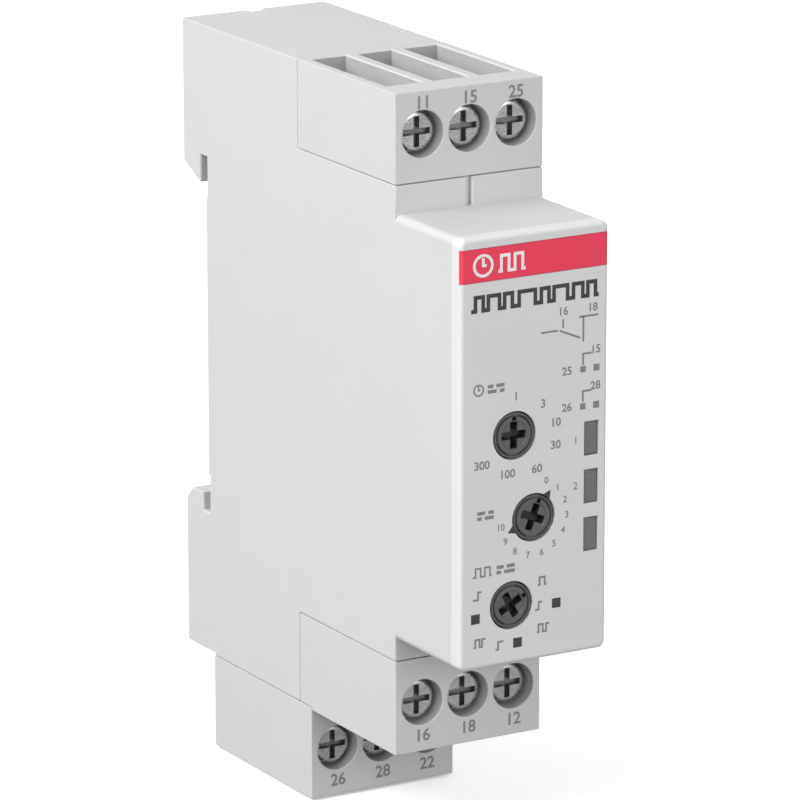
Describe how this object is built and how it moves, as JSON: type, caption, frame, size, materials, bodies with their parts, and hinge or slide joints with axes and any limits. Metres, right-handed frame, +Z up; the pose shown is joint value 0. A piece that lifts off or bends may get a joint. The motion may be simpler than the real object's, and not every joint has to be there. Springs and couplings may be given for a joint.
{
  "type": "din rail timer",
  "caption": "Slim modular timer relay for a top-hat rail, with front setting knobs, indicator windows, screw terminals and a sprung rail latch.",
  "frame": {"origin": "middle of the width, on the rail seat plane, at the rail's centre line", "axes": "+Z up along the height, -Y out of the front, +Y into the rail, +X to the right seen from the front"},
  "size_m": [0.0176, 0.058, 0.08],
  "materials": {
    "housing_grey": "fine textured light grey",
    "cap_grey": "fine textured light grey",
    "panel_grey": "fine textured light grey with grey marks",
    "red_print": "smooth",
    "window_smoke": "smoked",
    "knob_black": "satin",
    "switch_black": "satin",
    "trimmer_blue": "satin",
    "screw_zinc": "zinc plated",
    "clamp_zinc": "zinc plated",
    "contact_brass": "tin plated brass",
    "latch_grey": "satin",
    "spring_steel": "bright",
    "board_green": "solder mask",
    "led_clear": "clear epoxy",
    "relay_grey": "satin",
    "coil_copper": "enamelled wire under tape",
    "armature_iron": "nickel plated",
    "capacitor_sleeve": "shrink sleeve",
    "film_yellow": "moulded case",
    "varistor_blue": "epoxy dip"
  },
  "bodies": {
    "housing": {"housing_shell": "housing_grey", "front_panel": "panel_grey", "red_band": "red_print", "upper_terminal_cap": "cap_grey", "middle_terminal_cap": "cap_grey", "rear_terminal_cap": "cap_grey", "window_top": "window_smoke", "window_middle": "window_smoke", "window_bottom": "window_smoke", "range_switch": "switch_black", "fine_potentiometer": "trimmer_blue", "function_switch": "switch_black", "upper_contact_left": "contact_brass", "upper_contact_centre": "contact_brass", "upper_contact_right": "contact_brass", "middle_contact_left": "contact_brass", "middle_contact_centre": "contact_brass", "middle_contact_right": "contact_brass", "rear_contact_left": "contact_brass", "rear_contact_centre": "contact_brass", "rear_contact_right": "contact_brass", "latch_spring": "spring_steel", "main_board": "board_green", "front_board": "board_green", "board_connector": "switch_black", "indicator_leds": "led_clear", "relay_1_case": "relay_grey", "relay_1_base": "switch_black", "relay_1_coil": "coil_copper", "relay_2_case": "relay_grey", "relay_2_base": "switch_black", "relay_2_coil": "coil_copper", "filter_capacitor": "capacitor_sleeve", "dropper_capacitor": "film_yellow", "surge_varistor": "varistor_blue", "microcontroller": "switch_black"},
    "upper_screw_left": {"upper_screw_left": "screw_zinc"},
    "upper_clamp_left": {"upper_clamp_left": "clamp_zinc"},
    "upper_screw_centre": {"upper_screw_centre": "screw_zinc"},
    "upper_clamp_centre": {"upper_clamp_centre": "clamp_zinc"},
    "upper_screw_right": {"upper_screw_right": "screw_zinc"},
    "upper_clamp_right": {"upper_clamp_right": "clamp_zinc"},
    "middle_screw_left": {"middle_screw_left": "screw_zinc"},
    "middle_clamp_left": {"middle_clamp_left": "clamp_zinc"},
    "middle_screw_centre": {"middle_screw_centre": "screw_zinc"},
    "middle_clamp_centre": {"middle_clamp_centre": "clamp_zinc"},
    "middle_screw_right": {"middle_screw_right": "screw_zinc"},
    "middle_clamp_right": {"middle_clamp_right": "clamp_zinc"},
    "rear_screw_left": {"rear_screw_left": "screw_zinc"},
    "rear_clamp_left": {"rear_clamp_left": "clamp_zinc"},
    "rear_screw_centre": {"rear_screw_centre": "screw_zinc"},
    "rear_clamp_centre": {"rear_clamp_centre": "clamp_zinc"},
    "rear_screw_right": {"rear_screw_right": "screw_zinc"},
    "rear_clamp_right": {"rear_clamp_right": "clamp_zinc"},
    "range_knob": {"range_knob": "knob_black"},
    "fine_knob": {"fine_knob": "knob_black"},
    "function_knob": {"function_knob": "knob_black"},
    "rail_latch": {"rail_latch": "latch_grey"},
    "relay_1_armature": {"relay_1_armature": "armature_iron"},
    "relay_2_armature": {"relay_2_armature": "armature_iron"}
  },
  "joints": [
    {"name": "upper_screw_left_turn", "type": "hinge", "parent": "housing", "child": "upper_screw_left", "pos_m": [-0.0055, -0.0402, 0.0295], "axis": [0, 1, 0], "range_deg": [0, 2160]},
    {"name": "upper_clamp_left_slide", "type": "slide", "parent": "housing", "child": "upper_clamp_left", "axis": [0, -1, 0], "range_m": [0, 0.003]},
    {"name": "upper_screw_centre_turn", "type": "hinge", "parent": "housing", "child": "upper_screw_centre", "pos_m": [0, -0.0402, 0.0295], "axis": [0, 1, 0], "range_deg": [0, 2160]},
    {"name": "upper_clamp_centre_slide", "type": "slide", "parent": "housing", "child": "upper_clamp_centre", "axis": [0, -1, 0], "range_m": [0, 0.003]},
    {"name": "upper_screw_right_turn", "type": "hinge", "parent": "housing", "child": "upper_screw_right", "pos_m": [0.0055, -0.0402, 0.0295], "axis": [0, 1, 0], "range_deg": [0, 2160]},
    {"name": "upper_clamp_right_slide", "type": "slide", "parent": "housing", "child": "upper_clamp_right", "axis": [0, -1, 0], "range_m": [0, 0.003]},
    {"name": "middle_screw_left_turn", "type": "hinge", "parent": "housing", "child": "middle_screw_left", "pos_m": [-0.0055, -0.0402, -0.0307], "axis": [0, 1, 0], "range_deg": [0, 2160]},
    {"name": "middle_clamp_left_slide", "type": "slide", "parent": "housing", "child": "middle_clamp_left", "axis": [0, -1, 0], "range_m": [0, 0.003]},
    {"name": "middle_screw_centre_turn", "type": "hinge", "parent": "housing", "child": "middle_screw_centre", "pos_m": [0, -0.0402, -0.0307], "axis": [0, 1, 0], "range_deg": [0, 2160]},
    {"name": "middle_clamp_centre_slide", "type": "slide", "parent": "housing", "child": "middle_clamp_centre", "axis": [0, -1, 0], "range_m": [0, 0.003]},
    {"name": "middle_screw_right_turn", "type": "hinge", "parent": "housing", "child": "middle_screw_right", "pos_m": [0.0055, -0.0402, -0.0307], "axis": [0, 1, 0], "range_deg": [0, 2160]},
    {"name": "middle_clamp_right_slide", "type": "slide", "parent": "housing", "child": "middle_clamp_right", "axis": [0, -1, 0], "range_m": [0, 0.003]},
    {"name": "rear_screw_left_turn", "type": "hinge", "parent": "housing", "child": "rear_screw_left", "pos_m": [-0.0055, -0.0225, -0.0407], "axis": [0, 1, 0], "range_deg": [0, 2160]},
    {"name": "rear_clamp_left_slide", "type": "slide", "parent": "housing", "child": "rear_clamp_left", "axis": [0, -1, 0], "range_m": [0, 0.003]},
    {"name": "rear_screw_centre_turn", "type": "hinge", "parent": "housing", "child": "rear_screw_centre", "pos_m": [0, -0.0225, -0.0407], "axis": [0, 1, 0], "range_deg": [0, 2160]},
    {"name": "rear_clamp_centre_slide", "type": "slide", "parent": "housing", "child": "rear_clamp_centre", "axis": [0, -1, 0], "range_m": [0, 0.003]},
    {"name": "rear_screw_right_turn", "type": "hinge", "parent": "housing", "child": "rear_screw_right", "pos_m": [0.0055, -0.0225, -0.0407], "axis": [0, 1, 0], "range_deg": [0, 2160]},
    {"name": "rear_clamp_right_slide", "type": "slide", "parent": "housing", "child": "rear_clamp_right", "axis": [0, -1, 0], "range_m": [0, 0.003]},
    {"name": "range_knob_turn", "type": "hinge", "parent": "housing", "child": "range_knob", "pos_m": [-0.0023, -0.053, 0.00055], "axis": [0, 1, 0], "range_deg": [0, 240]},
    {"name": "fine_knob_turn", "type": "hinge", "parent": "housing", "child": "fine_knob", "pos_m": [0, -0.053, -0.00835], "axis": [0, 1, 0], "range_deg": [0, 220]},
    {"name": "function_knob_turn", "type": "hinge", "parent": "housing", "child": "function_knob", "pos_m": [-0.0026, -0.053, -0.01725], "axis": [0, 1, 0], "range_deg": [0, 230]},
    {"name": "rail_latch_pull", "type": "slide", "parent": "housing", "child": "rail_latch", "axis": [0, 0, -1], "range_m": [0, 0.003], "stiffness_N_per_m": 800, "springref_m": -0.004, "deforming": ["latch_spring"]},
    {"name": "relay_1_armature_swing", "type": "hinge", "parent": "housing", "child": "relay_1_armature", "pos_m": [0.0035, -0.01945, 0.0017], "axis": [0, -1, 0], "range_deg": [0, 4], "stiffness_Nm_per_rad": 0.0002, "springref_deg": -28.65},
    {"name": "relay_2_armature_swing", "type": "hinge", "parent": "housing", "child": "relay_2_armature", "pos_m": [0.0035, -0.00815, 0.0017], "axis": [0, -1, 0], "range_deg": [0, 4], "stiffness_Nm_per_rad": 0.0002, "springref_deg": -28.65}
  ],
  "couplings": [
    {"joint": "upper_screw_left_turn", "follows": "upper_clamp_left_slide", "rad_per_m": 12566},
    {"joint": "upper_screw_centre_turn", "follows": "upper_clamp_centre_slide", "rad_per_m": 12566},
    {"joint": "upper_screw_right_turn", "follows": "upper_clamp_right_slide", "rad_per_m": 12566},
    {"joint": "middle_screw_left_turn", "follows": "middle_clamp_left_slide", "rad_per_m": 12566},
    {"joint": "middle_screw_centre_turn", "follows": "middle_clamp_centre_slide", "rad_per_m": 12566},
    {"joint": "middle_screw_right_turn", "follows": "middle_clamp_right_slide", "rad_per_m": 12566},
    {"joint": "rear_screw_left_turn", "follows": "rear_clamp_left_slide", "rad_per_m": 12566},
    {"joint": "rear_screw_centre_turn", "follows": "rear_clamp_centre_slide", "rad_per_m": 12566},
    {"joint": "rear_screw_right_turn", "follows": "rear_clamp_right_slide", "rad_per_m": 12566}
  ]
}
